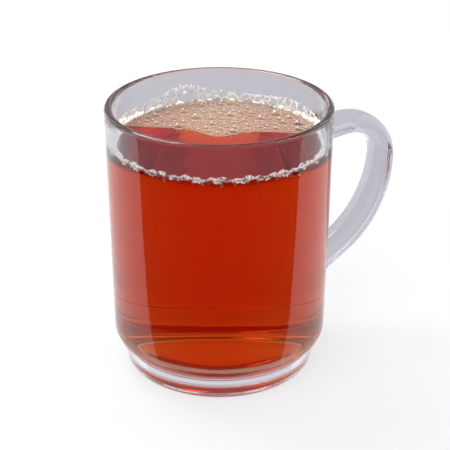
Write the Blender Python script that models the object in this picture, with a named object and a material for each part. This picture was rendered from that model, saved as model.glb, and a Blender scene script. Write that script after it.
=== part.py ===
"""A glass mug of black tea: the mug with its handle, the tea and the froth on it.

Metres, +Z up. The origin is the middle of the flat underside, on the mug's axis,
and the handle points along +X.
"""
import math

import bpy
import numpy as np

MM = 0.001

# The mug's turned body
HEIGHT = 93.0 * MM
RIM_RADIUS = 37.5 * MM
SHOULDER_RADIUS = 36.6 * MM
SHOULDER_HEIGHT = 13.4 * MM
SHOULDER_ROUNDNESS = 1.6
FOOT_NECK_RADIUS = 34.2 * MM
FOOT_NECK_HEIGHT = 9.2 * MM
FOOT_RADIUS = 32.7 * MM
FOOT_EDGE_RADIUS = 2.2 * MM
RIM_WALL = 2.7 * MM
LOW_WALL = 3.0 * MM
FLOOR_THICKNESS = 7.6 * MM
FLOOR_CORNER_RADIUS = 9.0 * MM
TURN_SEGMENTS = 72

# The handle, a rounded strap in the plane y = 0
HANDLE_REACH = 63.4 * MM
HANDLE_TOP = 78.4 * MM
STUB_HEIGHT = 77.2 * MM
UPPER_BEND_RADIUS = 14.2 * MM
LOWER_BEND_RADIUS = 37.7 * MM
LOWER_BEND_DEGREES = 55.8
STRAP_THICKNESS = (8.0 * MM, 7.2 * MM, 9.0 * MM, 9.2 * MM)
STRAP_THICKNESS_AT = (0.0, 0.3, 0.6, 0.88)
STRAP_WIDTH = 10.9 * MM
STRAP_SQUARENESS = 2.4
STRAP_SIDES = 16
ROOT_FILLET = 1.8 * MM
ROOT_DEPTH = 1.4 * MM
ROOT_TURN = 12.0 * MM

# The tea and the froth
GAP = 0.3 * MM
TEA_LEVEL = 80.7 * MM
FROTH_AZIMUTH = 64.0
FROTH_COLUMNS = 60
FROTH_ROWS = 4
FROTH_RING_WIDTH = 1.9 * MM
FROTH_FRONT = 7.2 * MM
FROTH_SLANT = -0.115
FROTH_TONGUE = 6.2 * MM
FROTH_TONGUE_AT = -0.5 * MM
FROTH_TONGUE_SPREAD = 7.0 * MM
FROTH_EDGE_HEIGHT = 0.7 * MM
FROTH_WALL_HEIGHT = 2.9 * MM
FROTH_HUB = -15.0 * MM
DOME_SINK = 0.25 * MM
BIG_BUBBLE_AZIMUTH = 109.0
BIG_BUBBLE = (5.2 * MM, 3.6 * MM, 5.3 * MM)
PATCH_BUBBLES = ((1.95 * MM, 16), (1.5 * MM, 34), (1.1 * MM, 46))
RING_BUBBLE = 0.95 * MM
RING_STEP_DEGREES = 6.1
SEED = 7


def clear_scene():
    """Removes the objects that the scene holds."""
    for item in list(bpy.data.objects):
        bpy.data.objects.remove(item)


def make_material(name, colour, roughness, transmission=0.0, ior=1.5):
    """A Principled material of one colour."""
    material = bpy.data.materials.new(name)
    material.use_nodes = True
    shader = material.node_tree.nodes["Principled BSDF"]
    shader.inputs["Base Color"].default_value = (*colour, 1.0)
    shader.inputs["Roughness"].default_value = roughness
    shader.inputs["Metallic"].default_value = 0.0
    shader.inputs["Transmission Weight"].default_value = transmission
    shader.inputs["IOR"].default_value = ior
    return material


def make_object(name, points, faces, material=None):
    """A mesh object, shaded smooth but for edges sharper than 35 degrees."""
    mesh = bpy.data.meshes.new(name)
    mesh.from_pydata([tuple(map(float, p)) for p in points], [], faces)
    mesh.validate()
    mesh.shade_smooth()
    mesh.set_sharp_from_angle(angle=math.radians(35))
    if material:
        mesh.materials.append(material)
    item = bpy.data.objects.new(name, mesh)
    bpy.context.scene.collection.objects.link(item)
    return item


def arc(centre, radii, start, end, steps, roundness=2.0):
    """Points of a superellipse about centre, from angle start to end in degrees; roundness 2 is an ellipse."""
    angles = np.radians(np.linspace(start, end, steps))
    cosine, sine = np.cos(angles), np.sin(angles)
    power = 2.0 / roundness
    x = centre[0] + radii[0] * np.sign(cosine) * np.abs(cosine) ** power
    y = centre[1] + radii[1] * np.sign(sine) * np.abs(sine) ** power
    return list(zip(x, y))


def turned(profile, segments):
    """Points and faces of a profile turned about Z. It starts and ends on the axis, and runs up its outer side."""
    angles = 2 * math.pi * np.arange(segments) / segments
    rings = profile[1:-1]
    points = [(0.0, 0.0, profile[0][1])]
    for radius, height in rings:
        points += [(radius * math.cos(a), radius * math.sin(a), height) for a in angles]
    points.append((0.0, 0.0, profile[-1][1]))
    last = len(points) - 1
    faces = []
    for j in range(segments):
        k = (j + 1) % segments
        faces.append((0, 1 + k, 1 + j))
        for i in range(len(rings) - 1):
            low, high = 1 + i * segments, 1 + (i + 1) * segments
            faces.append((low + j, low + k, high + k, high + j))
        top = 1 + (len(rings) - 1) * segments
        faces.append((top + j, top + k, last))
    return points, faces


def wall_radius(height):
    """The mug's outer radius at a height above the shoulder."""
    share = (height - SHOULDER_HEIGHT) / (HEIGHT - SHOULDER_HEIGHT)
    return SHOULDER_RADIUS + (RIM_RADIUS - SHOULDER_RADIUS) * share


def inner_radius(height):
    """The inner wall's radius at a height above the floor's corner."""
    share = (height - SHOULDER_HEIGHT) / (HEIGHT - SHOULDER_HEIGHT)
    return wall_radius(height) - LOW_WALL - (RIM_WALL - LOW_WALL) * share


def inside_profile(gap, top):
    """The inside from the floor's middle up to the height top, moved in by gap."""
    corner = FLOOR_CORNER_RADIUS - gap
    floor = FLOOR_THICKNESS + gap
    side = floor + corner
    centre = (inner_radius(side) - gap - corner, side)
    points = [(0.0, floor), (centre[0] * 0.5, floor)]
    points += arc(centre, (corner, corner), -90, 0, 8)
    points += [(inner_radius(z) - gap, z) for z in np.linspace(side, top, 4)[1:]]
    return points


def mug_body():
    """The turned glass: flat foot, neck, rounded shoulder, slightly flared wall and a round lip."""
    lip = RIM_WALL / 2
    profile = [(0.0, 0.0), (FOOT_RADIUS * 0.5, 0.0)]
    edge = (FOOT_RADIUS - FOOT_EDGE_RADIUS, FOOT_EDGE_RADIUS)
    profile += arc(edge, (FOOT_EDGE_RADIUS, FOOT_EDGE_RADIUS), -90, 0, 5)
    neck = (FOOT_NECK_RADIUS, SHOULDER_HEIGHT)
    sweep = (SHOULDER_RADIUS - FOOT_NECK_RADIUS, SHOULDER_HEIGHT - FOOT_NECK_HEIGHT)
    profile += arc(neck, sweep, -90, 0, 7, SHOULDER_ROUNDNESS)
    lip_height = HEIGHT - lip
    profile += [(wall_radius(z), z) for z in np.linspace(SHOULDER_HEIGHT, lip_height, 4)[1:-1]]
    profile += arc((RIM_RADIUS - lip, lip_height), (lip, lip), 0, 180, 8)
    profile += inside_profile(0.0, lip_height)[-2::-1]
    return make_object("glass_mug", *turned(profile, TURN_SEGMENTS), glass_material())


def glass_material():
    """Clear glass with a faint cool tint."""
    return make_material("clear_glass", (0.86, 0.88, 0.9), 0.03, 0.9, 1.5)


def handle_path():
    """The strap's centre line as arrays (reach, height): a stub, two bends and a straight run back to the wall."""
    bend_reach = HANDLE_REACH - UPPER_BEND_RADIUS
    bend_height = HANDLE_TOP - UPPER_BEND_RADIUS
    start = wall_radius(STUB_HEIGHT) - ROOT_DEPTH
    u = np.linspace(0, 1, 10)[:-1] ** 1.4
    stub = np.stack([start + (bend_reach - start) * u,
                     STUB_HEIGHT + (HANDLE_TOP - STUB_HEIGHT) * u * u * (3 - 2 * u)], 1)
    a = np.linspace(math.pi / 2, 0, 9)[:-1]
    upper = np.stack([bend_reach + UPPER_BEND_RADIUS * np.cos(a),
                      bend_height + UPPER_BEND_RADIUS * np.sin(a)], 1)
    turn = math.radians(LOWER_BEND_DEGREES)
    a = np.linspace(0, -turn, 9)
    lower = np.stack([HANDLE_REACH - LOWER_BEND_RADIUS * (1 - np.cos(a)),
                      bend_height + LOWER_BEND_RADIUS * np.sin(a)], 1)
    way = np.array([-math.sin(turn), -math.cos(turn)])
    end = wall_radius(SHOULDER_HEIGHT) - ROOT_DEPTH
    length = (lower[-1, 0] - end) / -way[0]
    u = 1 - np.linspace(1, 0, 9)[1:] ** 1.4
    run = lower[-1] + way * (length * u)[:, None]
    return np.concatenate([stub, upper, lower, run])


def handle():
    """The strap: rounded sections carried along the path. Near the wall they stand upright, follow its curve and flare."""
    path = handle_path()
    way = np.gradient(path, axis=0)
    way /= np.linalg.norm(way, axis=1)[:, None]
    across = np.stack([-way[:, 1], way[:, 0]], 1)
    steps = np.linalg.norm(np.diff(path, axis=0), axis=1)
    along = np.concatenate([[0.0], np.cumsum(steps)])
    thickness = np.interp(along / along[-1], STRAP_THICKNESS_AT, STRAP_THICKNESS)
    clear = path[:, 0] - wall_radius(path[:, 1])
    turn = np.clip(clear / ROOT_TURN, 0, 1)
    turn = (turn * turn * (3 - 2 * turn))[:, None]
    upright = np.stack([np.zeros(len(path)), np.sign(across[:, 1])], 1)
    lean = turn * across + (1 - turn) * upright
    lean /= np.linalg.norm(lean, axis=1)[:, None]
    near = np.clip(1 - clear / ROOT_FILLET, 0, 0.98)
    flare = ROOT_FILLET * (1 - np.sqrt(1 - near ** 2))
    half = (thickness / 2 + flare) / (lean * across).sum(1)
    broad = STRAP_WIDTH / 2 + flare
    ring = np.array(arc((0, 0), (1, 1), 0, 360, STRAP_SIDES + 1, STRAP_SQUARENESS)[:-1])
    section = path[:, None, :] + (half[:, None] * ring[None, :, 0])[..., None] * lean[:, None, :]
    side = broad[:, None] * ring[None, :, 1]
    wall = wall_radius(section[..., 1])
    sag = (1 - turn) * (wall - np.sqrt(wall ** 2 - side ** 2))
    points = np.stack([section[..., 0] - sag, side, section[..., 1]], -1).reshape(-1, 3)
    faces = [tuple(range(STRAP_SIDES))]
    for i in range(len(path) - 1):
        for j in range(STRAP_SIDES):
            k = (j + 1) % STRAP_SIDES
            here, there = i * STRAP_SIDES, (i + 1) * STRAP_SIDES
            faces.append((here + k, here + j, there + j, there + k))
    faces.append(tuple(reversed(range(len(points) - STRAP_SIDES, len(points)))))
    strap = make_object("handle_strap", points, faces)
    strap.hide_render = True
    strap.display_type = "WIRE"
    return strap


def build_mug():
    """The body and its handle joined into one piece of glass."""
    body = mug_body()
    joint = body.modifiers.new("handle", "BOOLEAN")
    joint.operation = "UNION"
    joint.object = handle()
    return body


def build_tea():
    """The tea, filling the mug to its level."""
    material = make_material("black_tea", (0.55, 0.09, 0.01), 0.02, 0.6, 1.33)
    inside = inside_profile(GAP, TEA_LEVEL)
    profile = inside + [(0.0, TEA_LEVEL)]
    return make_object("tea", *turned(profile, TURN_SEGMENTS), material)


def froth_front(across):
    """The froth's free edge: a slanted line with a tongue that reaches over the middle of the tea."""
    tongue = np.exp(-((across - FROTH_TONGUE_AT) / FROTH_TONGUE_SPREAD) ** 2)
    return FROTH_FRONT + FROTH_SLANT * across - FROTH_TONGUE * tongue


def froth_edge(direction, radius):
    """Distance from the hub to the froth's inner edge: the ring of bubbles at the wall, or the patch's free edge."""
    reach = rim_distance(direction, radius - FROTH_RING_WIDTH)
    if math.sin(direction) < 0.01:
        return reach
    front = FROTH_FRONT - FROTH_HUB
    for _ in range(30):
        across = front * math.cos(direction) / math.sin(direction)
        front = 0.5 * (front + froth_front(across) - FROTH_HUB)
    return min(reach, front / math.sin(direction))


def rim_distance(direction, radius):
    """Distance from the hub to a circle about the mug's axis."""
    away = FROTH_HUB * math.cos(direction)
    return -FROTH_HUB * math.sin(direction) + math.sqrt(radius ** 2 - away ** 2)


def froth_height(x, y, radius):
    """Height of the froth's core over its underside: low at the edge, piled up at the wall on the patch's side."""
    front = froth_front(x)
    back = np.clip((y - front) / (radius - front), 0, 1)
    return FROTH_EDGE_HEIGHT + (FROTH_WALL_HEIGHT - FROTH_EDGE_HEIGHT) * back ** 1.3


def froth_core(radius, base):
    """A slab between the wall and the froth's inner edge, as a closed ring of columns round the hub."""
    points, faces = [], []
    for j in range(FROTH_COLUMNS):
        direction = 2 * math.pi * j / FROTH_COLUMNS
        near, far = froth_edge(direction, radius), rim_distance(direction, radius)
        for i, span in enumerate([near, far, *np.linspace(far, near, FROTH_ROWS)]):
            x, y = span * math.cos(direction), FROTH_HUB + span * math.sin(direction)
            lift = froth_height(x, y, radius) if i > 1 else 0.0
            points.append((x, y, base + lift))
    count = FROTH_ROWS + 2
    for j in range(FROTH_COLUMNS):
        here, there = j * count, (j + 1) % FROTH_COLUMNS * count
        for i in range(count):
            n = (i + 1) % count
            faces.append((here + i, there + i, there + n, here + n))
    return make_object("froth", points, faces, froth_material())


def froth_material():
    """Pale cream foam."""
    return make_material("tea_froth", (0.72, 0.6, 0.47), 0.25)


def dome(name, centre, radii, azimuth):
    """A half bubble on a flat underside: radii along the wall, towards the wall, and up."""
    sides, rings = (12, 4) if radii[0] > max(PATCH_BUBBLES)[0] * 1.2 else (6, 2)
    points, faces = [], [tuple(reversed(range(sides)))]
    for i in range(rings):
        lift = 0.5 * math.pi * i / rings
        for j in range(sides):
            a = 2 * math.pi * (j + 0.5 * i) / sides
            out, along = radii[1] * math.cos(lift) * math.cos(a), radii[0] * math.cos(lift) * math.sin(a)
            x = centre[0] + out * math.cos(azimuth) - along * math.sin(azimuth)
            y = centre[1] + out * math.sin(azimuth) + along * math.cos(azimuth)
            points.append((x, y, centre[2] + radii[2] * math.sin(lift)))
    points.append((centre[0], centre[1], centre[2] + radii[2]))
    top = (rings - 1) * sides
    for j in range(sides):
        k = (j + 1) % sides
        for low in range(0, top, sides):
            high = low + sides
            faces += [(low + j, low + k, high + j), (low + k, high + k, high + j)]
        faces.append((top + j, top + k, len(points) - 1))
    return make_object(name, points, faces)


def bubble_places(radius):
    """The bubbles' places and radii: the big one first, then the patch, then the ring at the wall."""
    random = np.random.default_rng(SEED)
    angle = math.radians(BIG_BUBBLE_AZIMUTH)
    centre = radius - BIG_BUBBLE[1]
    places = [(centre * math.cos(angle), centre * math.sin(angle), *BIG_BUBBLE)]
    for size, wanted in PATCH_BUBBLES:
        found = 0
        while found < wanted:
            x, y = random.uniform(-radius, radius), random.uniform(0, radius)
            small = size * random.uniform(0.85, 1.15)
            inside = math.hypot(x, y) < radius - small and y > froth_front(x) + 0.3 * small
            apart = all(math.hypot(x - p[0], y - p[1]) > 0.86 * (small + p[2]) for p in places)
            if inside and apart:
                places.append((x, y, small, small, small * random.uniform(0.85, 1.1)))
                found += 1
    for angle in np.arange(170, 372, RING_STEP_DEGREES):
        small = random.uniform(0.8, 1.15) * RING_BUBBLE
        away = radius - small * 1.05
        turn = math.radians(angle + random.uniform(-1.2, 1.2))
        places.append((away * math.cos(turn), away * math.sin(turn), small, small, small * 0.9))
    return places


def build_froth():
    """The froth's core with its bubbles fused on, turned to the side that it has drifted to."""
    base = TEA_LEVEL + GAP
    radius = inner_radius(base) - GAP
    core = froth_core(radius, base)
    bubbles = bpy.data.collections.new("bubbles")
    bpy.context.scene.collection.children.link(bubbles)
    for number, (x, y, along, out, high) in enumerate(bubble_places(radius)):
        sink = max(DOME_SINK, froth_height(x, y, radius) - 0.45 * high)
        piece = dome(f"bubble_{number:03d}", (x, y, base + sink), (along, out, high), math.atan2(y, x))
        bpy.context.scene.collection.objects.unlink(piece)
        bubbles.objects.link(piece)
    join = core.modifiers.new("bubbles", "BOOLEAN")
    join.operation = "UNION"
    join.operand_type = "COLLECTION"
    join.collection = bubbles
    join.solver = "MANIFOLD"
    bpy.context.view_layer.objects.active = core
    bpy.ops.object.modifier_apply(modifier=join.name)
    for piece in list(bubbles.objects):
        bpy.data.objects.remove(piece)
    bpy.data.collections.remove(bubbles)
    core.rotation_euler[2] = math.radians(FROTH_AZIMUTH - 90)
    return core


clear_scene()
build_mug()
build_tea()
build_froth()
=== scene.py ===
"""The looks of a glass mug of black tea: clear pressed glass, clear tea and a froth of real bubbles."""
import math

import bpy
import numpy as np
from bpy.props import FloatProperty, FloatVectorProperty, IntProperty, PointerProperty
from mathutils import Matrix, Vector


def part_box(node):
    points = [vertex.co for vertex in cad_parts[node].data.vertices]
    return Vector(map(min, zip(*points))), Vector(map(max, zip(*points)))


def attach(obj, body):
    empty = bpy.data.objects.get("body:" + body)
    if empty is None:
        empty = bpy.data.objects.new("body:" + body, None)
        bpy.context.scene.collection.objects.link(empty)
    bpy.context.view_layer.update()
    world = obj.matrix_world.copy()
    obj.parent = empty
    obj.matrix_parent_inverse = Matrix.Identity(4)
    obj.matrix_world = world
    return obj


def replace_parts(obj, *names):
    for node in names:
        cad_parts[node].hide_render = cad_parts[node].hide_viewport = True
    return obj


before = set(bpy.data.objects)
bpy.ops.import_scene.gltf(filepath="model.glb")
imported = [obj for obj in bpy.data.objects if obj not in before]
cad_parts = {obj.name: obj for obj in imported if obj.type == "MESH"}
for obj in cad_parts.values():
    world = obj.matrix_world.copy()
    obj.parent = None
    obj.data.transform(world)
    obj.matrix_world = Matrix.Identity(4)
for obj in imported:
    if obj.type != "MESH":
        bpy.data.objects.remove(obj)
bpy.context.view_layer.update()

bl_info = {
    "name": "Glass Mug of Tea",
    "version": (1, 0, 0),
    "blender": (4, 5, 0),
    "location": "3D View > Sidebar > Tea Mug",
    "description": "Makes a glass mug of black tea with froth, and a plain stage for it",
    "category": "Add Mesh",
}

MM = 0.001
BODY = "root"
MUG_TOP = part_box("glass_mug")[1].z
MUG_RADIUS = -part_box("glass_mug")[0].x
TEA_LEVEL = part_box("tea")[1].z

# Straight pieces of glass and tea in one turn
SEGMENTS = 288

# The photograph's width, and how far the mug's middle lies from the frame's middle, in pixels
FRAME_WIDTH = 450.0
SHIFT_X = 5.65
SHIFT_Y = 6.55

WHITE = (1.0, 1.0, 1.0)
GLASS_IOR = 1.5
WATER_IOR = 1.33


# Sizes and colours

def length_property(name, description, default):
    """A length that a user can change."""
    return FloatProperty(name=name, description=description, default=default,
                         subtype="DISTANCE", unit="LENGTH", precision=5)


def colour_property(name, description, default):
    """A colour that a user can change."""
    return FloatVectorProperty(name=name, description=description, default=default,
                               subtype="COLOR", size=3, min=0, max=1)


class MugSizes(bpy.types.PropertyGroup):
    """The glass: its turned body and its handle."""

    rim_radius: length_property("Rim radius", "Outer radius at the rim", MUG_RADIUS)
    height: length_property("Height", "Height of the lip's top", MUG_TOP)
    rim_wall: length_property("Wall at the rim", "Thickness at the rim", 2.7 * MM)
    low_wall: length_property("Wall at the foot", "Thickness low down", 3.0 * MM)
    floor: length_property("Floor", "Height of the floor's upper side", 7.6 * MM)
    corner: length_property("Inner corner", "Radius inside, floor to wall", 9.0 * MM)
    shoulder_radius: length_property("Shoulder radius", "Outer radius at the shoulder's upper end", 36.6 * MM)
    shoulder_height: length_property("Shoulder height", "Height of the shoulder's upper end", 13.4 * MM)
    neck_radius: length_property("Neck radius", "Outer radius where the foot meets the shoulder", 34.2 * MM)
    neck_height: length_property("Neck height", "Height where the foot meets the shoulder", 9.2 * MM)
    foot_radius: length_property("Foot radius", "Outer radius of the foot", 32.7 * MM)
    foot_edge: length_property("Foot edge", "Rounding of the foot's lower edge", 2.2 * MM)
    recess_radius: length_property("Recess", "Radius of the hollow underneath", 23.5 * MM)
    recess_depth: length_property("Recess depth", "Depth of the hollow underneath", 3.0 * MM)
    reach: length_property("Handle reach", "From the axis to the strap's middle", 63.4 * MM)
    strap_width: length_property("Strap width", "Width across the handle", 10.9 * MM)
    tint: colour_property("Glass tint", "Colour of light through the wall", (0.523, 0.523, 0.578))


class TeaLooks(bpy.types.PropertyGroup):
    """The tea: its level, its colour and the curl at the wall."""

    level: length_property("Level", "Height of the tea's surface", TEA_LEVEL)
    into_wall: length_property("Into the wall", "Overlap with the glass", 0.15 * MM)
    meniscus: length_property("Meniscus", "Rise of the tea at the wall", 0.3 * MM)
    let_through: colour_property("Let through", "Colour that the tea absorbs least", (0.975, 0.53, 0.0))
    density: FloatProperty(name="Density", description="Absorption for each metre", default=105.0, min=0)


class FrothLooks(bpy.types.PropertyGroup):
    """The froth: the patch of bubbles and the ring at the wall."""

    azimuth: FloatProperty(name="Side", description="Direction of the patch, in degrees", default=64.0)
    seed: IntProperty(name="Seed", description="Start of the random draws", default=7)
    cream: colour_property("Foam", "Colour of the finest foam", (0.84, 0.66, 0.52))
    # The film colour is also the painted reflection at the bubbles' outlines
    film: colour_property("Film", "Colour of the bubbles' edges and the wall's foam", (0.95, 0.92, 0.87))


class StageLooks(bpy.types.PropertyGroup):
    """The floor, the backdrop, the light all round and the camera."""

    azimuth: FloatProperty(name="Azimuth", description="Camera's direction, in degrees", default=-26.0)
    elevation: FloatProperty(name="Elevation", description="Camera's height angle, in degrees", default=26.0)
    distance: length_property("Distance", "Camera to the mug's middle", 0.4262)
    lens: FloatProperty(name="Lens", description="Focal length in millimetres", default=100.0)
    floor: colour_property("Floor", "Colour of the floor and the backdrop", (0.20, 0.20, 0.203))
    glow: FloatProperty(name="Floor's own light", description="Light that the floor gives off", default=0.69)
    backdrop: FloatProperty(name="Backdrop", description="Light that the backdrop gives off", default=0.95)
    flag: length_property("Flag", "From the axis to the dark card in front", 37 * MM)
    world: colour_property("Surroundings", "Colour of the light all round", (0.60, 0.61, 0.64))


# Shader nodes

class Value:
    """A socket that can be used in an expression: each operator adds a Math node."""

    def __init__(self, shade, socket):
        self.shade = shade
        self.socket = socket

    def math(self, operation, first, second):
        """A Math node with two inputs."""
        return self.shade.add("ShaderNodeMath", {"operation": operation}, {0: first, 1: second})

    def __add__(self, other):
        return self.math("ADD", self, other)

    __radd__ = __add__

    def __rsub__(self, other):
        return self.math("SUBTRACT", other, self)

    def __mul__(self, other):
        return self.math("MULTIPLY", self, other)

    def __pow__(self, other):
        return self.math("POWER", self, other)


def opaque(colour):
    """A colour as a socket takes it: a link as it is, and three numbers with full alpha."""
    return colour if isinstance(colour, Value) else (*colour, 1.0)


def dimmed(colour, share):
    """The colour's three numbers times a share."""
    return tuple(c * share for c in colour)


class Shade:
    """A material's node tree, built node by node."""

    def __init__(self, name):
        self.material = bpy.data.materials.new(name)
        self.material.use_nodes = True
        self.tree = self.material.node_tree
        self.tree.nodes.clear()

    def add(self, kind, settings=None, inputs=None, output=0):
        """Adds a node, its settings, and the values or links of its inputs. Returns one of its outputs."""
        node = self.tree.nodes.new(kind)
        for key, value in (settings or {}).items():
            setattr(node, key, value)
        for key, value in (inputs or {}).items():
            if isinstance(value, Value):
                self.tree.links.new(value.socket, node.inputs[key])
            else:
                node.inputs[key].default_value = value
        return Value(self, node.outputs[output]) if node.outputs else None

    def noise(self, scale, detail):
        """Noise from 0 to 1 over the object's coordinates, scale being waves for each metre."""
        where = self.add("ShaderNodeTexCoord", output="Object")
        return self.add("ShaderNodeTexNoise", {}, {"Vector": where, "Scale": scale, "Detail": detail}, "Fac")

    def attribute(self, name):
        """A number that the mesh holds for each of its points."""
        return self.add("ShaderNodeAttribute", {"attribute_name": name}, {}, "Fac")

    def step(self, value, low, high):
        """0 below low, 1 above high, smooth between them."""
        settings = {"interpolation_type": "SMOOTHSTEP"}
        return self.add("ShaderNodeMapRange", settings, {"Value": value, "From Min": low, "From Max": high})

    def mix_colour(self, factor, first, second):
        """A colour between two colours."""
        inputs = {"Factor": factor, "A": opaque(first), "B": opaque(second)}
        return self.add("ShaderNodeMix", {"data_type": "RGBA"}, inputs, "Result")

    def larger(self, first, second):
        """The larger of two numbers."""
        return self.add("ShaderNodeMath", {"operation": "MAXIMUM"}, {0: first, 1: second})

    def bump(self, height, distance):
        """A normal tilted by the slope of the height, which is up to distance in metres."""
        return self.add("ShaderNodeBump", {}, {"Height": height, "Distance": distance, "Strength": 1.0})

    def mix(self, factor, first, second):
        """The first surface at factor 0 and the second at factor 1."""
        return self.add("ShaderNodeMixShader", {}, {0: factor, 1: first, 2: second})

    def clear(self):
        """A surface that lets all light straight through."""
        return self.add("ShaderNodeBsdfTransparent", {}, {"Color": opaque(WHITE)})

    def matt(self, colour, roughness, normal=None, glow=0.0):
        """Wet foam: a good half of the light is thrown back, and the rest is let through.
        Glow is painted light: a warm emission by which the foam shines though it is no lamp."""
        # Painted light: the emission colour and strength give the foam a glow of its own
        inputs = {"Base Color": opaque(colour), "Roughness": roughness, "IOR": WATER_IOR,
                  "Emission Color": (1.0, 0.95, 0.88, 1.0), "Emission Strength": glow}
        through = {"Color": inputs["Base Color"]}
        if normal:
            inputs["Normal"] = through["Normal"] = normal
        back = self.add("ShaderNodeBsdfPrincipled", {}, inputs)
        ahead = self.add("ShaderNodeBsdfTranslucent", {}, through)
        return self.mix(0.45, back, ahead)

    def finish(self, surface, volume=None):
        """Joins the surface and the volume to the output, and gives the material."""
        inputs = {"Surface": surface}
        if volume:
            inputs["Volume"] = volume
        self.add("ShaderNodeOutputMaterial", {}, inputs)
        return self.material


def glass_finish(name, tint, mirror):
    """Pressed glass: faint long waves, and smears in the polish. Mirror is 0 for glass that tea wets."""
    shade = Shade(name)
    waves = shade.noise(38.0, 1.0)
    ripples = shade.noise(160.0, 1.0)
    smears = shade.step(shade.noise(55.0, 4.0), 0.50, 0.75)
    surface = shade.add("ShaderNodeBsdfPrincipled", {}, {
        "Base Color": opaque(tint),
        "Roughness": 0.012 + smears * 0.02,
        "IOR": GLASS_IOR,
        "Transmission Weight": 1.0,
        "Specular Tint": (mirror, mirror, mirror, 1.0),
        "Normal": shade.bump(waves + ripples * 0.12, 0.00012),
    })
    return shade.finish(surface)


def tea_finish(let_through, density):
    """Clear tea: it absorbs green and blue along the way of the light, and its surface has faint ripples."""
    shade = Shade("black_tea")
    surface = shade.add("ShaderNodeBsdfPrincipled", {}, {
        "Base Color": opaque(WHITE),
        "Roughness": 0.0,
        "IOR": WATER_IOR,
        "Transmission Weight": 1.0,
        "Specular Tint": (0.1, 0.1, 0.1, 1.0),
        "Normal": shade.bump(shade.noise(70.0, 1.0), 0.00008),
    })
    volume = shade.add("ShaderNodeVolumeAbsorption", {}, {"Color": opaque(let_through), "Density": density})
    return shade.finish(surface, volume)


def film_finish(name, painted_edge_and_bead_colour, painted_edge_start, mirror):
    """A bubble's skin: clear with a glossy sheen. Seen edge on it takes the edge colour as a painted
    reflection, pale on the froth's bubbles and dark on the hung ones; where it stands in foam it takes it as
    fine foam beads, dark painted shade on the hung ones. Under it the tea is a thin film, so it is amber
    there."""
    shade = Shade(name)
    facing = shade.add("ShaderNodeLayerWeight", {}, {"Blend": 0.5}, "Facing")
    grain = shade.noise(2400.0, 2.0)
    edge = shade.matt(painted_edge_and_bead_colour, 0.12)
    amber = shade.matt((0.52, 0.22, 0.015), 0.2)
    gloss = shade.add("ShaderNodeBsdfGlossy", {}, {"Color": opaque(WHITE), "Roughness": 0.04})
    skin = shade.mix(facing ** 4.0 * 0.6 + mirror, shade.clear(), gloss)
    base = shade.attribute("floor") * (shade.noise(420.0, 1.0) * 0.7 + 0.4)
    skin = shade.mix(base, skin, amber)
    # Painted reflection: the edge colour where the skin is seen edge on
    pale = shade.step(facing + grain * 0.2, painted_edge_start, 1.12) * 0.7
    # Where the bubble meets foam or wall: fine foam beads, or painted shade in the dark colour
    beads = shade.step(shade.attribute("foot") + grain * 0.3, 0.92, 1.15) * 0.9
    return shade.finish(shade.mix(shade.larger(pale, beads), skin, edge))


def bead_finish(name, cream, cover, glow):
    """The finest bubbles: too small to see into, so pale cream, a little see-through and glossy.
    Their glow is painted light.
    """
    shade = Shade(name)
    grain = shade.noise(1500.0, 2.0)
    # Painted light: glow gives the beads a shine of their own
    surface = shade.matt(shade.mix_colour(grain, cream, dimmed(cream, 0.86)), 0.15, glow=glow)
    clear = shade.clear()
    factor = shade.attribute("depth") * 0.5 + grain * 0.2 + cover
    return shade.finish(shade.mix(factor, clear, surface))


def foam_finish(name, cream, glow):
    """The finest foam between the bubbles: pale cream and grainy with painted shade between its tiny bubbles,
    and open where a bubble stands. Its glow is painted light.
    """
    shade = Shade(name)
    where = shade.add("ShaderNodeTexCoord", output="Object")
    inputs = {"Vector": where, "Scale": 1800.0}
    cells = shade.add("ShaderNodeTexVoronoi", {"feature": "F1"}, inputs, "Distance")
    grain = shade.noise(900.0, 3.0)
    # Painted shade: darker towards the edges of the cells, between the tiny bubbles
    colour = shade.mix_colour(shade.step(cells, 0.2, 0.7), cream, dimmed(cream, 0.75))
    # Painted light: glow gives the foam a shine of its own
    foam = shade.matt(colour, 0.3, shade.bump(1.0 - cells, 0.0003), glow)
    clear = shade.clear()
    between = shade.step(shade.attribute("gap") + grain * 0.3, 0.05, 0.3)
    return shade.finish(shade.mix(between * (shade.attribute("depth") * 0.5 + 0.36), clear, foam))


def floor_finish(name, colour, glow):
    """A matt floor with a very faint mottling, which glows a little, as a light table does."""
    shade = Shade(name)
    surface = shade.add("ShaderNodeBsdfPrincipled", {}, {
        "Base Color": shade.mix_colour(shade.noise(14.0, 4.0), colour, dimmed(colour, 0.98)),
        "Roughness": 0.6,
        "Specular IOR Level": 0.1,
        "Emission Color": opaque(WHITE),
        "Emission Strength": glow,
    })
    return shade.finish(surface)


# Surfaces

def smooth_step(share):
    """0 to 1 with level ends: three times the share's square less twice its cube."""
    share = np.clip(share, 0, 1)
    return share * share * (3 - 2 * share)


def bell(value, middle, width):
    """A bell curve, 1 at its middle: e to minus the square of the distance over the width."""
    return np.exp(-((value - middle) / width) ** 2)


def arc(centre, radii, start, end, steps, roundness=2.0):
    """Points of a superellipse about centre, from start to end in degrees; roundness 2 is an ellipse."""
    angles = np.radians(np.linspace(start, end, steps))
    cosine, sine = np.cos(angles), np.sin(angles)
    x = centre[0] + radii[0] * np.sign(cosine) * np.abs(cosine) ** (2.0 / roundness)
    y = centre[1] + radii[1] * np.sign(sine) * np.abs(sine) ** (2.0 / roundness)
    return np.stack([x, y], 1)


def line(start, end, steps):
    """Points between two points, without the first."""
    return np.linspace(start, end, steps + 1)[1:]


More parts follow.
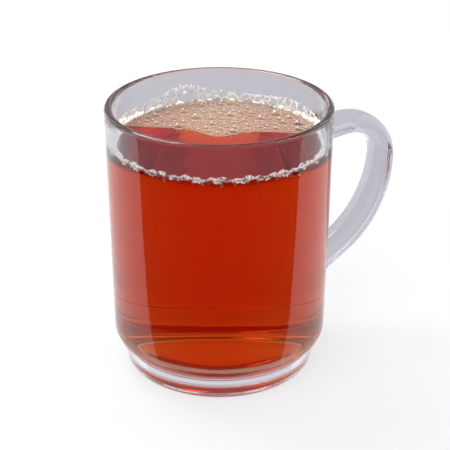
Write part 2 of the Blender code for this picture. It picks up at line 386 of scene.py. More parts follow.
def grid_faces(rows, columns, closed_rows=False):
    """Quads of a grid of rows whose columns close on themselves. The last row joins the first if asked."""
    i = np.arange(rows if closed_rows else rows - 1)[:, None]
    j = np.arange(columns)[None, :]
    n, k = (i + 1) % rows, (j + 1) % columns
    corners = (i * columns + j, i * columns + k, n * columns + k, n * columns + j)
    return np.stack(np.broadcast_arrays(*corners), -1).reshape(-1, 4)


def fan_faces(ring, pole, columns, downwards):
    """Triangles from a ring that starts at index ring to the point pole."""
    j = np.arange(columns)
    k = (j + 1) % columns
    first, second = (k, j) if downwards else (j, k)
    return np.stack([ring + first, ring + second, np.full(columns, pole)], 1)


def tube_faces(rows, columns, flipped=False):
    """Faces of a closed tube: quads between rows, and a fan at each end. The fans' poles come last."""
    count = rows * columns
    quads = grid_faces(rows, columns)
    return [quads[:, ::-1] if flipped else quads,
            fan_faces(0, count, columns, not flipped),
            fan_faces(count - columns, count + 1, columns, flipped)]


def closed_tube(points, flipped=False):
    """A tube through rows of points, closed at both ends by a fan to the mean of the row there."""
    rows, columns = points.shape[:2]
    ends = np.stack([points[0].mean(0), points[-1].mean(0)])
    return np.concatenate([points.reshape(-1, 3), ends]), tube_faces(rows, columns, flipped)


def turned(profile, segments):
    """A surface of revolution: the profile's (r, z) stands at (r cos a, r sin a, z) for each angle a."""
    angles = 2 * math.pi * np.arange(segments) / segments
    rings = profile[1:-1]
    x = rings[:, :1] * np.cos(angles)
    y = rings[:, :1] * np.sin(angles)
    z = np.broadcast_to(rings[:, 1:], x.shape)
    poles = np.array([[0, 0, profile[0, 1]], [0, 0, profile[-1, 1]]])
    points = np.concatenate([np.stack([x, y, z], -1).reshape(-1, 3), poles])
    return points, tube_faces(len(rings), segments)


def turned_about(points, degrees):
    """Points turned about Z: x becomes x cos a less y sin a, and y becomes x sin a plus y cos a."""
    a = math.radians(degrees)
    turn = np.array([[math.cos(a), math.sin(a), 0], [-math.sin(a), math.cos(a), 0], [0, 0, 1]])
    return points @ turn


def make_mesh(name, points, faces, smooth):
    """A mesh from an array of points and a list of arrays of faces."""
    mesh = bpy.data.meshes.new(name)
    points = np.ascontiguousarray(points, np.float32).reshape(-1, 3)
    corners = np.concatenate([f.ravel() for f in faces]).astype(np.int32)
    sizes = np.concatenate([np.full(len(f), f.shape[1]) for f in faces])
    mesh.vertices.add(len(points))
    mesh.vertices.foreach_set("co", points.ravel())
    mesh.loops.add(len(corners))
    mesh.loops.foreach_set("vertex_index", corners)
    mesh.polygons.add(len(sizes))
    mesh.polygons.foreach_set("loop_start", (np.cumsum(sizes) - sizes).astype(np.int32))
    mesh.update(calc_edges=True)
    mesh.validate()
    if smooth:
        mesh.shade_smooth()
    return mesh


def make_piece(name, surface, material, slot=None, layers=None, smooth=True):
    """An object of a surface's points and faces. Layers are numbers for the points, which the finish reads.
    With a slot it is a piece of the part, and rides on the mug."""
    mesh = make_mesh(name, *surface, smooth)
    for layer_name, values in (layers or {}).items():
        layer = mesh.attributes.new(layer_name, "FLOAT", "POINT")
        layer.data.foreach_set("value", values.astype(np.float32))
    mesh.materials.append(material)
    piece = bpy.data.objects.new(name, mesh)
    bpy.context.scene.collection.objects.link(piece)
    if slot:
        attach(piece, BODY)
    return piece


# The glass and the tea

def wall_radius(mug, height):
    """The mug's outer radius above the shoulder: it grows evenly with the height."""
    share = (height - mug.shoulder_height) / (mug.height - mug.shoulder_height)
    return mug.shoulder_radius + (mug.rim_radius - mug.shoulder_radius) * share


def inner_radius(mug, height):
    """The inner wall's radius above the floor's corner: the outer one less a wall that thins upwards."""
    share = (height - mug.shoulder_height) / (mug.height - mug.shoulder_height)
    return wall_radius(mug, height) - mug.low_wall - (mug.rim_wall - mug.low_wall) * share


def inside_profile(mug, outwards, top, steps):
    """The inside from the floor's middle up to the height top, moved outwards into the glass."""
    corner = mug.corner + outwards
    floor = mug.floor - outwards
    side = floor + corner
    middle = inner_radius(mug, side) + outwards - corner
    heights = line(side, top, steps)
    wall = np.stack([inner_radius(mug, heights) + outwards, heights], 1)
    return np.concatenate([[[0.0, floor]], line((0, floor), (middle, floor), 8)[:-1],
                           arc((middle, side), (corner, corner), -90, 0, 24), wall])


def mug_profile(mug):
    """The glass's section: hollow, foot, neck, shoulder, wall, round lip, inner wall, corner and floor.
    The hollow's depth falls off with the fifth power of the radius."""
    edge = (mug.foot_radius - mug.foot_edge, mug.foot_edge)
    sweep = (mug.shoulder_radius - mug.neck_radius, mug.shoulder_height - mug.neck_height)
    lip = mug.rim_wall / 2
    lip_height = mug.height - lip
    heights = line(mug.shoulder_height, lip_height, 16)[:-1]
    r = mug.recess_radius * np.linspace(0, 1, 48) ** 0.6
    recess = np.stack([r, mug.recess_depth * (1 - (r / mug.recess_radius) ** 5)], 1)
    return np.concatenate([
        recess, line((mug.recess_radius, 0), (edge[0], 0), 4)[:-1],
        arc(edge, (mug.foot_edge, mug.foot_edge), -90, 0, 10),
        arc((mug.neck_radius, mug.shoulder_height), sweep, -90, 0, 24, 1.6),
        np.stack([wall_radius(mug, heights), heights], 1),
        arc((mug.rim_radius - lip, lip_height), (lip, lip), 0, 180, 24),
        inside_profile(mug, 0.0, lip_height, 12)[-2::-1],
    ])


def handle_path(mug):
    """The strap's centre line, as distance from the axis and height: a stub that rises a little outwards,
    a quarter turn, a wider bend inwards, and a straight run to the wall. Both ends reach a little into it."""
    top, stub_height = 78.4 * MM, 77.2 * MM
    upper, lower, turn = 14.2 * MM, 37.7 * MM, math.radians(55.8)
    depth, steps, crowding = 1.4 * MM, 36, 1.6
    bend = (mug.reach - upper, top - upper)
    start = wall_radius(mug, stub_height) - depth
    u = np.linspace(0, 1, steps)[:-1] ** crowding
    stub = np.stack([start + (bend[0] - start) * u, stub_height + (top - stub_height) * smooth_step(u)], 1)
    first = arc(bend, (upper, upper), 90, 0, 30)[:-1]
    second = arc((mug.reach - lower, bend[1]), (lower, lower), 0, -math.degrees(turn), 34)
    way = np.array([-math.sin(turn), -math.cos(turn)])
    length = (second[-1, 0] - wall_radius(mug, mug.shoulder_height) + depth) / -way[0]
    u = 1 - np.linspace(1, 0, steps)[1:] ** crowding
    return np.concatenate([stub, first, second, second[-1] + way * (length * u)[:, None]])


def strap_thickness(along):
    """The strap's thickness at each point of its path: straight lines between four values, smoothed by
    a running mean over fifteen points."""
    places, values = (0.0, 0.3, 0.6, 0.88), np.array((8.0, 7.2, 9.0, 9.2)) * MM
    mean_of = 15
    thickness = np.interp(along / along[-1], places, values)
    return np.convolve(np.pad(thickness, mean_of // 2, mode="edge"), np.ones(mean_of) / mean_of, mode="valid")


def handle_surface(mug, sides=48):
    """The strap: a superellipse carried along the path, with its thickness across it and its width along Y.
    Near the wall it stands upright, takes the wall's curve, and flares out along a quarter of a circle."""
    fillet, root_turn = 1.8 * MM, 12.0 * MM
    path = handle_path(mug)
    way = np.gradient(path, axis=0)
    way /= np.linalg.norm(way, axis=1)[:, None]
    across = np.stack([-way[:, 1], way[:, 0]], 1)
    along = np.concatenate([[0.0], np.cumsum(np.linalg.norm(np.diff(path, axis=0), axis=1))])
    clear = path[:, 0] - wall_radius(mug, path[:, 1])
    turn = smooth_step(clear / root_turn)[:, None]
    upright = np.stack([np.zeros(len(path)), np.sign(across[:, 1])], 1)
    lean = turn * across + (1 - turn) * upright
    lean /= np.linalg.norm(lean, axis=1)[:, None]
    near = np.clip(1 - clear / fillet, 0, 0.985)
    flare = fillet * (1 - np.sqrt(1 - near ** 2))
    half = (strap_thickness(along) / 2 + flare) / (lean * across).sum(1)
    broad = mug.strap_width / 2 + flare
    ring = arc((0, 0), (1, 1), 0, 360, sides + 1, 2.4)[:-1]
    section = path[:, None, :] + (half[:, None] * ring[None, :, 0])[..., None] * lean[:, None, :]
    side = broad[:, None] * ring[None, :, 1]
    wall = wall_radius(mug, section[..., 1])
    sag = (1 - turn) * (wall - np.sqrt(wall ** 2 - side ** 2))
    return closed_tube(np.stack([section[..., 0] - sag, side, section[..., 1]], -1), flipped=True)


def tea_profile(mug, tea):
    """The tea's section: the mug's inside, and a flat surface that curls up at the wall. The curl's height
    falls off exponentially with the distance from the wall."""
    curl, flat = 0.6 * MM, 0.8
    inside = inside_profile(mug, tea.into_wall, tea.level + tea.meniscus, 14)
    radius = inside[-1, 0]
    outer = 1 - (1 - flat) * np.linspace(1, 0, 40)[1:] ** 2
    r = radius * np.concatenate([np.linspace(0, flat, 10), outer])[::-1]
    lift = tea.meniscus * np.exp(-(radius - r) / curl)
    return np.concatenate([inside[:-1], np.stack([r, tea.level + lift], 1)])


# The froth, worked out with the patch towards +Y and then turned to its side

# The largest bubbles on the tea: x, y and radius in millimetres
RAFT_PLACES = (
    (-21.5, 23.6, 1.5), (-12.1, 22.9, 1.9), (10.1, 26.0, 1.4), (18.1, 27.3, 1.6), (19.6, 20.6, 2.2),
    (14.2, 17.0, 1.8), (4.1, 19.8, 2.0), (-7.7, 17.5, 2.2), (-2.3, 11.6, 1.7), (5.3, 8.9, 1.3),
    (9.8, 10.4, 1.4), (13.6, 9.0, 1.3), (26.7, 11.9, 2.0), (24.0, 17.5, 1.4), (-2.6, 16.5, 1.5),
    (8.6, 14.8, 1.5), (-15.5, 17.0, 1.4), (-1.6, 23.4, 1.6), (0.6, 7.4, 1.1), (19.0, 11.5, 1.2),
)

# The largest bubbles on the back wall: azimuth in degrees, height over the tea and radius in millimetres
WALL_PLACES = (
    (109.5, 1.5, 4.7), (130.0, 1.4, 1.6), (125.0, 4.2, 1.2), (141.0, 3.4, 1.1), (96.0, 4.4, 1.3),
    (88.0, 3.4, 1.8), (78.0, 3.9, 1.4), (82.0, 1.4, 1.2), (57.0, 1.9, 1.6), (36.0, 2.8, 1.8),
    (46.5, 3.3, 1.3),
)

# The other bubbles, size by size: radius in millimetres, how many, and how close, in sums of two radii
RAFT_SIZES = ((1.5, 24, 1.06), (1.1, 60, 1.06), (0.75, 90, 1.05), (0.42, 300, 0.97), (0.27, 1700, 0.9))
WALL_SIZES = ((1.2, 18, 1.0), (0.85, 50, 1.0), (0.6, 110, 1.0), (0.4, 300, 0.97), (0.25, 1500, 0.9))
RING_SIZES = ((0.75, 24, 1.0), (0.52, 60, 1.0), (0.36, 520, 0.88), (0.24, 2300, 0.8))

# A bubble is large over the first radius, and a bead of foam up to the second, or up to the third in the ring
LARGE = 1.0 * MM
BEAD = 0.5 * MM
RING_BEAD = 0.45 * MM

# The fine foam's height at its free edge, and what it gains from there to the wall
FOAM_EDGE = 0.2 * MM
FOAM_GAIN = 0.9 * MM


def froth_front(across):
    """The patch's free edge, as y for each x: a slanted line less a bell curve, which makes a tongue."""
    return 7.2 * MM - 0.115 * across - 6.2 * MM * bell(across, -0.5 * MM, 7.0 * MM)


def froth_height(x, y, radius):
    """Height of the fine foam over the tea: it grows with the square of the way from free edge to wall."""
    front = froth_front(x)
    back = np.clip((y - front) / (radius - front), 0, 1)
    return FOAM_EDGE + FOAM_GAIN * back ** 2


def wall_height(azimuth):
    """Height that the bubbles on the back wall reach over the tea: two bell curves on a level, which runs
    down to nothing at both ends."""
    humps = 3.7 + 3.4 * bell(azimuth, 111, 14) + 0.9 * bell(azimuth, 45, 14)
    return humps * MM * np.clip(np.minimum(azimuth - 6, 176 - azimuth) / 16, 0, 1)


def ring_height(azimuth):
    """Height of the froth along the rest of the wall: two sine waves for a low jagged line, and a bell
    curve by which it climbs towards both sides."""
    side = np.minimum(np.abs(azimuth - 180), np.minimum(azimuth, 360 - azimuth))
    uneven = 0.95 + 0.35 * np.sin(np.radians(azimuth) * 23) + 0.3 * np.sin(np.radians(azimuth) * 57 + 1)
    return MM * (uneven + 2.9 * bell(side, 0, 24))


def pack_circles(first, sizes, low, high, fits, random):
    """Circles drawn at random between two corners, size by size, and kept where they fit and are clear."""
    tries = 30
    kept = np.array(first)
    for size, wanted, touch in sizes:
        places = random.uniform(low, high, (wanted * tries, 2))
        radii = size * MM * random.uniform(0.8, 1.2, len(places))
        rows = np.column_stack([places, radii])[fits(places[:, 0], places[:, 1], radii)]
        found = 0
        for row in rows:
            apart = np.hypot(kept[:, 0] - row[0], kept[:, 1] - row[1]) > touch * (kept[:, 2] + row[2])
            if found < wanted and apart.all():
                kept = np.vstack([kept, row])
                found += 1
    return kept


def raft_bubbles(radius, random):
    """Bubbles that float on the tea: rows of x, y and radius. The largest stand as in the photo."""
    first = np.array(RAFT_PLACES) * MM

    def fits(x, y, r):
        """Inside the wall, and behind the free edge by an amount that grows with the radius."""
        front = froth_front(x) + np.minimum(r * 1.5, 1.5 * MM)
        return (np.hypot(x, y) < radius - 0.8 * r) & (y > front - 0.5 * MM)

    return pack_circles(first, RAFT_SIZES, (-radius, 0.0), (radius, radius), fits, random)


def wall_bubbles(radius, random):
    """Bubbles that cling to the back wall, as rows of way along the wall, height over the tea and radius."""
    first = np.array([(math.radians(a) * radius / MM, z, r) for a, z, r in WALL_PLACES]) * MM
    highest = 7.5 * MM

    def fits(way, height, r):
        """Over the tea, and with its top under the froth's."""
        top = wall_height(np.degrees(way / radius))
        return (height + r < top) & (height > 0.2 * MM)

    return pack_circles(first, WALL_SIZES, (0.0, 0.0), (math.pi * radius, highest), fits, random)


def ring_bubbles(radius, random):
    """The finest bubbles all round the wall: rows of way along the wall, height over the tea and radius.
    The list starts with one tiny bubble deep in the tea."""
    first = [[0.0, -10 * MM, 0.1 * MM]]
    lowest, highest = -0.9 * MM, 3.6 * MM

    def fits(way, height, r):
        """Under the froth's top, and over a lower line that waves along the wall."""
        azimuth = np.degrees(way / radius)
        low = -0.55 * MM - 0.35 * MM * np.sin(np.radians(azimuth) * 31)
        return (height + 0.5 * r < ring_height(azimuth)) & (height > low)

    return pack_circles(first, RING_SIZES, (0.0, lowest), (2 * math.pi * radius, highest), fits, random)


def hung_bubbles(radius, level, random, count=58):
    """Clear bubbles that hang under the surface, at uneven steps round the wall: centres and radii."""
    angle = 2 * math.pi * (np.arange(count) + random.uniform(-0.4, 0.4, count)) / count
    r = MM * random.uniform(0.7, 1.3, count)
    away = radius - r * 0.9
    z = level - 0.4 * MM - r * random.uniform(0.7, 1.1, count)
    return np.stack([away * np.cos(angle), away * np.sin(angle), z], 1), r


def at_wall(way, away, height, radius):
    """Centres of bubbles at the wall: the angle is the way along the wall over its radius, and away is
    the distance from the axis."""
    angle = way / radius
    return np.stack([away * np.cos(angle), away * np.sin(angle), height], 1)


def domes(centres, radii, rows, sides, low):
    """Closed bubbles: a sphere cut flat at the height low, in radii. Each is one grid, scaled and placed.
    Also gives the points of the bubble of radius 1, again for each."""
    lift = np.linspace(math.asin(low), math.pi / 2, rows)[:-1]
    turn = 2 * math.pi * np.arange(sides) / sides
    across = np.concatenate([[0.7 * math.cos(lift[0])], np.cos(lift)])
    height = np.concatenate([[low], np.sin(lift)])
    unit = np.stack([np.outer(across, np.cos(turn)), np.outer(across, np.sin(turn)),
                     np.broadcast_to(height[:, None], (rows, sides))], -1).reshape(-1, 3)
    unit = np.concatenate([unit, [[0, 0, low], [0, 0, 1.0]]])
    points = centres[:, None, :] + unit[None] * radii[:, None, :]
    steps = (np.arange(len(centres)) * len(unit))[:, None, None]
    faces = [(f[None] + steps).reshape(-1, f.shape[1]) for f in tube_faces(rows, sides)]
    return points.reshape(-1, 3), faces, np.tile(unit, (len(centres), 1))


def rim_distance(direction, radius, hub):
    """Distance from the hub, on the Y axis, to a circle about the mug's axis, by the law of cosines."""
    return -hub * np.sin(direction) + np.sqrt(radius ** 2 - (hub * np.cos(direction)) ** 2)


def hollows(x, y, bubbles, share):
    """Distance from each point to the nearest bubble's edge, less than 0 inside it and 1 mm at most, with
    the radii times a share; and the same as a number from -1 in a hollow to 1 between bubbles."""
    gap = np.full(np.broadcast(x, y).shape, 1.0 * MM)
    for row in bubbles[bubbles[:, 2] > BEAD]:
        gap = np.minimum(gap, np.hypot(x - row[0], y - row[1]) - row[2] * share)
    return gap, np.clip(gap / (0.25 * MM), -1, 1)


def foam_surface(radius, level, bubbles, columns=640, rows=110):
    """The fine foam as a closed sheet: columns run straight away from a hub, from an inner edge to the wall.
    The inner edge is the patch's free edge, or that of a narrow ring with two sine waves in it. The foam is
    lower in the hollows and comes down to the tea over the first three rows."""
    hub, ring, wave, buried = -15.0 * MM, 0.9 * MM, 0.2 * MM, 0.3 * MM
    direction = 2 * math.pi * np.arange(columns) / columns
    near = rim_distance(direction, radius - ring, hub)
    near = near + wave * np.sin(direction * 57) + wave * np.sin(direction * 91 + 1)
    sine = np.maximum(np.sin(direction), 0.01)
    # Each column's y over the hub at the free edge, found by going half of the way to it again and again
    front = np.full(columns, 20 * MM)
    for _ in range(40):
        front = 0.5 * (front + froth_front(front * np.cos(direction) / sine) - hub)
    near = np.where(np.sin(direction) > 0.02, np.minimum(near, front / sine), near)
    far = rim_distance(direction, radius, hub)
    share = np.linspace(0, 1, rows)
    span = near[None] + (far - near)[None] * share[:, None]
    x, y = span * np.cos(direction), hub + span * np.sin(direction)
    gap, ridge = hollows(x, y, bubbles, 1.0)
    edge = np.clip(share * (rows - 1) / 3.0, 0, 1)[:, None]
    height = froth_height(x, y, radius)
    top = np.stack([x, y, level + height * edge * (0.55 + 0.45 * ridge)], -1)
    under = np.stack([x[[0, -1]], y[[0, -1]], np.full((2, columns), level - buried)], -1)
    points = np.concatenate([under, top[::-1]]).reshape(-1, 3)
    depth = height / (FOAM_EDGE + FOAM_GAIN)
    layers = {"gap": np.concatenate([np.full((2, columns), -1.0), gap[::-1] / MM]).ravel(),
              "depth": np.concatenate([depth[[0, -1]], depth[::-1]]).ravel()}
    return points, [grid_faces(rows + 2, columns, closed_rows=True)], layers


def wall_foam(radius, level, bubbles, columns=60, rows=900):
    """The fine foam on the back wall: rows along the wall, columns up it and back down, a closed flat tube.
    Its top is the froth's height with two sine waves in it. It thins towards the top and in the hollows."""
    buried = 0.3 * MM
    azimuth = np.linspace(7, 175, rows)[:, None]
    way = np.radians(azimuth) * radius
    uneven = 0.97 + 0.05 * np.sin(way / (0.35 * MM)) + 0.04 * np.sin(way / (0.21 * MM) + 1)
    top = wall_height(azimuth) * uneven
    share = np.linspace(0, 1, columns)[None, :]
    height = share * (top + buried) - buried
    gap, ridge = hollows(way, height, bubbles, 0.9)
    edge = np.clip((1 - share) * top / (0.5 * MM), 0, 1) ** 0.5
    thick = (0.05 + 0.45 * edge * (0.6 + 0.4 * ridge)) * MM
    away = np.concatenate([radius - thick, np.full((rows, 2), radius)], 1)
    height = np.concatenate([height, height[:, [-1, 0]]], 1)
    x, y = away * np.cos(way / radius), away * np.sin(way / radius)
    points, faces = closed_tube(np.stack([x, y, level + height], -1))
    gaps = np.concatenate([gap / MM, np.full((rows, 2), -1.0)], 1).ravel()
    layers = {"gap": np.append(gaps, (-1.0, -1.0)), "depth": np.ones(len(points))}
    return points, faces, layers


# Operators

class MakeGlass(bpy.types.Operator):
    """Makes the glass mug in one piece, body and handle"""

    bl_idname = "tea_mug.glass"
    bl_label = "Glass mug"

    def execute(self, context):
        mug = context.scene.tea_mug
        material = glass_finish("clear_glass", tuple(mug.tint), 1.0)
        body = make_piece("clear_mug", turned(mug_profile(mug), SEGMENTS), material, "clear_glass")
        strap = make_piece("strap", handle_surface(mug), material)
        join = body.modifiers.new("handle", "BOOLEAN")
        join.operation = "UNION"
        join.object = strap
        join.solver = "EXACT"
        context.view_layer.objects.active = body
        bpy.ops.object.modifier_apply(modifier=join.name)
        bpy.data.objects.remove(strap)
        body.data.shade_smooth()
        self.wet(mug, body.data, context.scene.tea_looks.level)
        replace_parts(body, "glass_mug")
        return {"FINISHED"}

    @staticmethod
    def wet(mug, mesh, level):
        """Gives the inner faces up to a little over the tea a finish that mirrors nothing, and the lip one
        with a painted reflection: a warm tint in its colour that stands for the tea's light. Other faces keep
        the first finish."""
        over_tea = 1.0 * MM
        lip_index = 2
        mesh.materials.append(glass_finish("wet_glass", WHITE, 0.0))
        # Painted reflection: the lip's warm tint stands for the tea's light in the rim
        mesh.materials.append(glass_finish("lip_glass_painted_tea_light", (0.62, 0.49, 0.48), 1.0))
        centres = np.empty(len(mesh.polygons) * 3, np.float32)
        mesh.polygons.foreach_get("center", centres)
        x, y, z = centres.reshape(-1, 3).T
        inside = np.hypot(x, y) < inner_radius(mug, z) + 0.3 * mug.low_wall
        touched = inside & (z < level + over_tea) & (z > 0.9 * mug.floor)
        lip = z > mug.height - 0.8 * mug.rim_wall
        mesh.polygons.foreach_set("material_index", np.where(lip, lip_index, touched).astype(np.int32))


class MakeTea(bpy.types.Operator):
    """Fills the mug with tea up to its level"""

    bl_idname = "tea_mug.tea"
    bl_label = "Tea"

    def execute(self, context):
        mug, tea = context.scene.tea_mug, context.scene.tea_looks
        material = tea_finish(tuple(tea.let_through), tea.density)
        fill = make_piece("tea_fill", turned(tea_profile(mug, tea), SEGMENTS), material, "black_tea")
        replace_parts(fill, "tea")
        return {"FINISHED"}


class MakeFroth(bpy.types.Operator):
    """Makes the froth: fine foam, the bubbles on the tea and on the wall, and the ring round the wall"""

    bl_idname = "tea_mug.froth"
    bl_label = "Froth"

    def execute(self, context):
        mug, tea, froth = context.scene.tea_mug, context.scene.tea_looks, context.scene.froth_looks
        into_wall = 0.12 * MM
        self.turn = froth.azimuth - 90.0
        self.radius = inner_radius(mug, tea.level) + into_wall
        random = np.random.default_rng(froth.seed)
        cream, pale = tuple(froth.cream), tuple(froth.film)
        # Painted reflection at the bubbles' outlines: pale on the froth's bubbles, dark brown on the hung
        # ones
        film = film_finish("bubble_film", pale, 0.84, 0.08)
        dark = film_finish("hung_film_painted_dark_edge", (0.10, 0.03, 0.02), 0.45, 0.14)
        # Painted light: the wall's and the ring's beads glow by themselves, at 0.28 and 0.85
        bead = bead_finish("foam_beads", cream, 0.3, 0.0)
        wall_bead = bead_finish("wall_beads", pale, 0.3, 0.28)
        ring_bead = bead_finish("ring_beads", pale, 0.35, 0.85)

        raft = raft_bubbles(self.radius, random)
        cling = wall_bubbles(self.radius, random)
        surface = foam_surface(self.radius, tea.level, raft)
        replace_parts(self.add_foam("fine_foam", surface, foam_finish("fine_foam", cream, 0.0)), "froth")
        surface = wall_foam(self.radius, tea.level, cling)
        # Painted light: the wall's foam glows by itself at 0.28
        self.add_foam("wall_foam", surface, foam_finish("wall_foam", pale, 0.28))

        afloat = self.places_on_tea(raft, tea.level)
        on_wall = self.places_on_wall(cling, tea.level)
        ring = ring_bubbles(self.radius, random)
        in_ring = self.places_in_ring(ring, tea.level, random)
        centres, radii = hung_bubbles(self.radius, tea.level, random)
        hung = centres, radii, np.zeros(len(radii)), None

        # Name, places, which of them, finish, and each bubble's rows, sides and the height where it is cut
        for name, places, chosen, material, form in (
            ("large_bubbles", afloat, raft[:, 2] > LARGE, film, (12, 28, -0.1)),
            ("small_bubbles", afloat, (raft[:, 2] > BEAD) & (raft[:, 2] <= LARGE), film, (7, 14, -0.1)),
            ("foam_beads", afloat, raft[:, 2] <= BEAD, bead, (5, 8, -0.6)),
            ("wall_bubbles", on_wall, cling[:, 2] > BEAD, film, (14, 24, -0.98)),
            ("wall_beads", on_wall, cling[:, 2] <= BEAD, wall_bead, (5, 8, -0.9)),
            ("ring_bubbles", in_ring, ring[:, 2] > RING_BEAD, film, (9, 14, -0.98)),
            ("ring_beads", in_ring, ring[:, 2] <= RING_BEAD, ring_bead, (5, 8, -0.9)),
            ("hung_bubbles", hung, radii > 0, dark, (9, 14, -0.98)),
        ):
            self.add_bubbles(name, places, chosen, material, form)
        return {"FINISHED"}

    def places_on_tea(self, raft, level):
        """Centres, radii and depth in the foam of the floating bubbles, and how much each is squashed."""
        x, y, radii = raft.T
        height = froth_height(x, y, self.radius)
        depth = np.clip(height / (FOAM_EDGE + FOAM_GAIN), 0, 1)
        round_about = np.ones(len(depth))
        squash = np.stack([round_about, round_about, 0.9 + 0.2 * depth], 1)
        return np.stack([x, y, level + height * 0.7], 1), radii, depth, squash

    def places_on_wall(self, cling, level):
        """Centres, radii and depth of the bubbles on the back wall, which cuts the very large ones near their
        middle and the others further out."""
        way, height, radii = cling.T
        away = self.radius - np.where(radii > 3 * MM, 0.3, 0.75) * radii
        return at_wall(way, away, level + height, self.radius), radii, np.ones(len(radii)), None

    def places_in_ring(self, ring, level, random):
        """Centres, radii and depth of the bubbles in the ring. The finest lie up to half a millimetre in."""
        way, height, radii = ring.T
        away = self.radius - 0.6 * radii - random.uniform(0, 0.5, len(ring)) * MM * (radii < 0.4 * MM)
        return at_wall(way, away, level + height, self.radius), radii, np.ones(len(radii)), None

    def add_foam(self, name, foam, material):
        """Makes one piece of fine foam, turned to the patch's side."""
        points, faces, layers = foam
        return make_piece(name, (turned_about(points, self.turn), faces), material, "tea_froth", layers)

    def add_bubbles(self, name, places, chosen, material, form):
        """Makes one piece of the chosen bubbles, pressed flat where they meet the wall. Its layer foot is 1
        where a bubble meets the foam or the wall, and its layer floor is 1 under a floating one."""
        centres, radii, depth, squash = places
        centres, depth = centres[chosen], depth[chosen]
        radii = np.repeat(radii[chosen][:, None], 3, axis=1)
        low = form[2]
        if squash is None:
            points, faces, unit = domes(centres, radii, *form)
            count = len(unit) // len(centres)
            outwards = centres[:, :2] / np.hypot(centres[:, 0], centres[:, 1])[:, None]
            facing = (unit[:, :2] * np.repeat(outwards, count, axis=0)).sum(1)
            foot = np.clip(1 - np.abs(facing - 0.7) / 0.35, 0, 1)
            under = np.zeros(len(unit))
        else:
            points, faces, unit = domes(centres, radii * squash[chosen], *form)
            count = len(unit) // len(centres)
            inner = np.hypot(unit[:, 0], unit[:, 1]) < 0.9 * math.sqrt(1 - low ** 2)
            under = np.where((unit[:, 2] < low + 1e-6) & inner, 1.0, 0.0)
            foot = (1 - np.clip(unit[:, 2], 0, 1)) * (1 - under)
        away = np.hypot(points[:, 0], points[:, 1])
        points[:, :2] *= np.minimum(1.0, self.radius / np.maximum(away, 1e-9))[:, None]
        layers = {"foot": foot, "floor": under, "depth": np.repeat(depth, count)}
        make_piece(name, (turned_about(points, self.turn), faces), material, "tea_froth", layers)


# The lights, placed as the camera's azimuth has them: x to the right, y away from it and z up, in metres.
# Each has a name, its place, the point that it faces, its width and height, and its radiance.
LIGHTS = (
    ("left_panel", (-0.62, 0.42, 0.40), (0.0, 0.42, 0.40), (0.95, 0.80), 0.6),
    ("right_panel", (0.62, 0.42, 0.40), (0.0, 0.42, 0.40), (0.95, 0.80), 0.6),
    ("top_light", (-0.35, 0.30, 0.80), (0.0, 0.0, 0.05), (0.40, 0.40), 9.0),
    ("front_light", (-0.35, -0.75, 0.95), (0.0, 0.0, 0.05), (1.2, 1.2), 2.6),
)


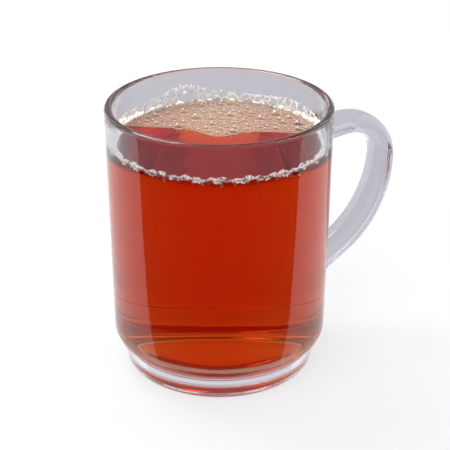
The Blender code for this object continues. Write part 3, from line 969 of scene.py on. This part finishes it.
class MakeStage(bpy.types.Operator):
    """Makes the floor, the lights and the camera"""

    bl_idname = "tea_mug.stage"
    bl_label = "Stage"

    def execute(self, context):
        look = context.scene.stage_looks
        scene = context.scene
        self.add_floor(look)
        self.add_flag(look)
        self.add_backdrop(look)
        self.aim_camera(scene, look, Vector((0, 0, MUG_TOP / 2)))
        for light in LIGHTS:
            self.add_light(scene, look, *light)
        world = bpy.data.worlds.new("surroundings")
        world.use_nodes = True
        world.node_tree.nodes["Background"].inputs["Color"].default_value = opaque(look.world)
        scene.world = world
        scene.view_settings.view_transform = "Standard"
        scene.cycles.max_bounces = 24
        scene.cycles.transmission_bounces = 24
        scene.cycles.glossy_bounces = 12
        scene.cycles.transparent_max_bounces = 48
        return {"FINISHED"}

    @staticmethod
    def add_light(scene, look, name, place, target, size, radiance):
        """Adds a rectangular light. No mirror image holds the front light, and none is seen through glass."""
        spot = Vector(turned_about(np.array(place), look.azimuth))
        aim = Vector(turned_about(np.array(target), look.azimuth))
        light = bpy.data.lights.new(name, "AREA")
        light.shape = "RECTANGLE"
        light.size, light.size_y = size
        light.energy = radiance * math.pi * size[0] * size[1]
        lamp = bpy.data.objects.new(name, light)
        scene.collection.objects.link(lamp)
        lamp.location = spot
        lamp.rotation_euler = (aim - spot).to_track_quat("-Z", "Y").to_euler()
        lamp.visible_glossy = name != "front_light"
        lamp.visible_transmission = name != "front_light"

    @staticmethod
    def add_floor(look):
        """Lays a round floor: a flat disc, turned about the mug's axis, that ends just under its foot."""
        radius, bottom, top = 2.6, -20 * MM, -0.1 * MM
        disc = turned(np.array([[0, bottom], [radius, bottom], [radius, top], [0, top]]), 64)
        floor = make_piece("floor", disc, floor_finish("floor", tuple(look.floor), look.glow), smooth=False)

    @staticmethod
    def add_backdrop(look):
        """Stands a pale curved wall behind the mug: points at one radius, over an arc and two heights."""
        radius, height, half_arc = 1.3, 1.5, 75
        behind = math.radians(look.azimuth + 90)
        angle = behind + np.radians(np.linspace(-half_arc, half_arc, 61))
        low = np.stack([radius * np.cos(angle), radius * np.sin(angle), np.zeros(len(angle))], 1)
        points = np.concatenate([low, low + (0, 0, height)])
        j = np.arange(len(angle) - 1)
        faces = np.stack([j + 1, j, j + len(angle), j + len(angle) + 1], 1)
        finish = floor_finish("backdrop", tuple(look.floor), look.backdrop)
        wall = make_piece("backdrop", (points, [faces]), finish, smooth=False)
        wall.visible_glossy = False

    @staticmethod
    def add_flag(look):
        """Lays a dark card before the mug, as photographers do. It shows only where glass mirrors it."""
        far, near, lift = -0.6, -look.flag, 0.4 * MM
        corners = np.array([[far, far, lift], [-far, far, lift], [-far, near, lift], [far, near, lift]])
        shade = Shade("dark_card")
        black = shade.add("ShaderNodeBsdfDiffuse", {}, {"Color": (0.0, 0.0, 0.0, 1.0)})
        surface = turned_about(corners, look.azimuth), [np.array([[0, 1, 2, 3]])]
        card = make_piece("dark_card", surface, shade.finish(black), smooth=False)
        card.visible_camera = False
        card.visible_diffuse = False
        card.visible_transmission = False
        card.visible_shadow = False

    @staticmethod
    def aim_camera(scene, look, middle):
        """Sets the camera at its angles and distance from the mug's middle, with the photograph's framing."""
        turn, rise = math.radians(look.azimuth), math.radians(look.elevation)
        back = Vector((math.sin(turn) * math.cos(rise), -math.cos(turn) * math.cos(rise), math.sin(rise)))
        data = bpy.data.cameras.new("camera")
        data.lens = look.lens
        data.sensor_width = 36.0
        data.shift_x = SHIFT_X / FRAME_WIDTH
        data.shift_y = SHIFT_Y / FRAME_WIDTH
        data.clip_start, data.clip_end = 0.01, 20.0
        camera = bpy.data.objects.new("camera", data)
        scene.collection.objects.link(camera)
        camera.location = middle + back * look.distance
        camera.rotation_euler = (-back).to_track_quat("-Z", "Y").to_euler()
        scene.camera = camera


class TeaMugPanel(bpy.types.Panel):
    """Lists the pieces and their sizes in the sidebar"""

    bl_idname = "VIEW3D_PT_tea_mug"
    bl_label = "Tea Mug"
    bl_space_type = "VIEW_3D"
    bl_region_type = "UI"
    bl_category = "Tea Mug"

    def draw(self, context):
        scene = context.scene
        for group in (scene.tea_mug, scene.tea_looks, scene.froth_looks, scene.stage_looks):
            box = self.layout.box()
            for name in group.__annotations__:
                box.prop(group, name)
        for operator in OPERATORS:
            self.layout.operator(operator.bl_idname)


GROUPS = {"tea_mug": MugSizes, "tea_looks": TeaLooks, "froth_looks": FrothLooks, "stage_looks": StageLooks}
OPERATORS = (MakeGlass, MakeTea, MakeFroth, MakeStage)


def register():
    """Registers the property groups, operators and panel."""
    for cls in (*GROUPS.values(), *OPERATORS, TeaMugPanel):
        bpy.utils.register_class(cls)
    for name, group in GROUPS.items():
        setattr(bpy.types.Scene, name, PointerProperty(type=group))


def unregister():
    """Takes the panel, operators and property groups out again."""
    for name in GROUPS:
        delattr(bpy.types.Scene, name)
    for cls in (TeaMugPanel, *OPERATORS[::-1], *GROUPS.values()):
        bpy.utils.unregister_class(cls)


def main():
    """Makes everything."""
    register()
    bpy.ops.tea_mug.glass()
    bpy.ops.tea_mug.tea()
    bpy.ops.tea_mug.froth()
    bpy.ops.tea_mug.stage()


if __name__ == "__main__":
    main()
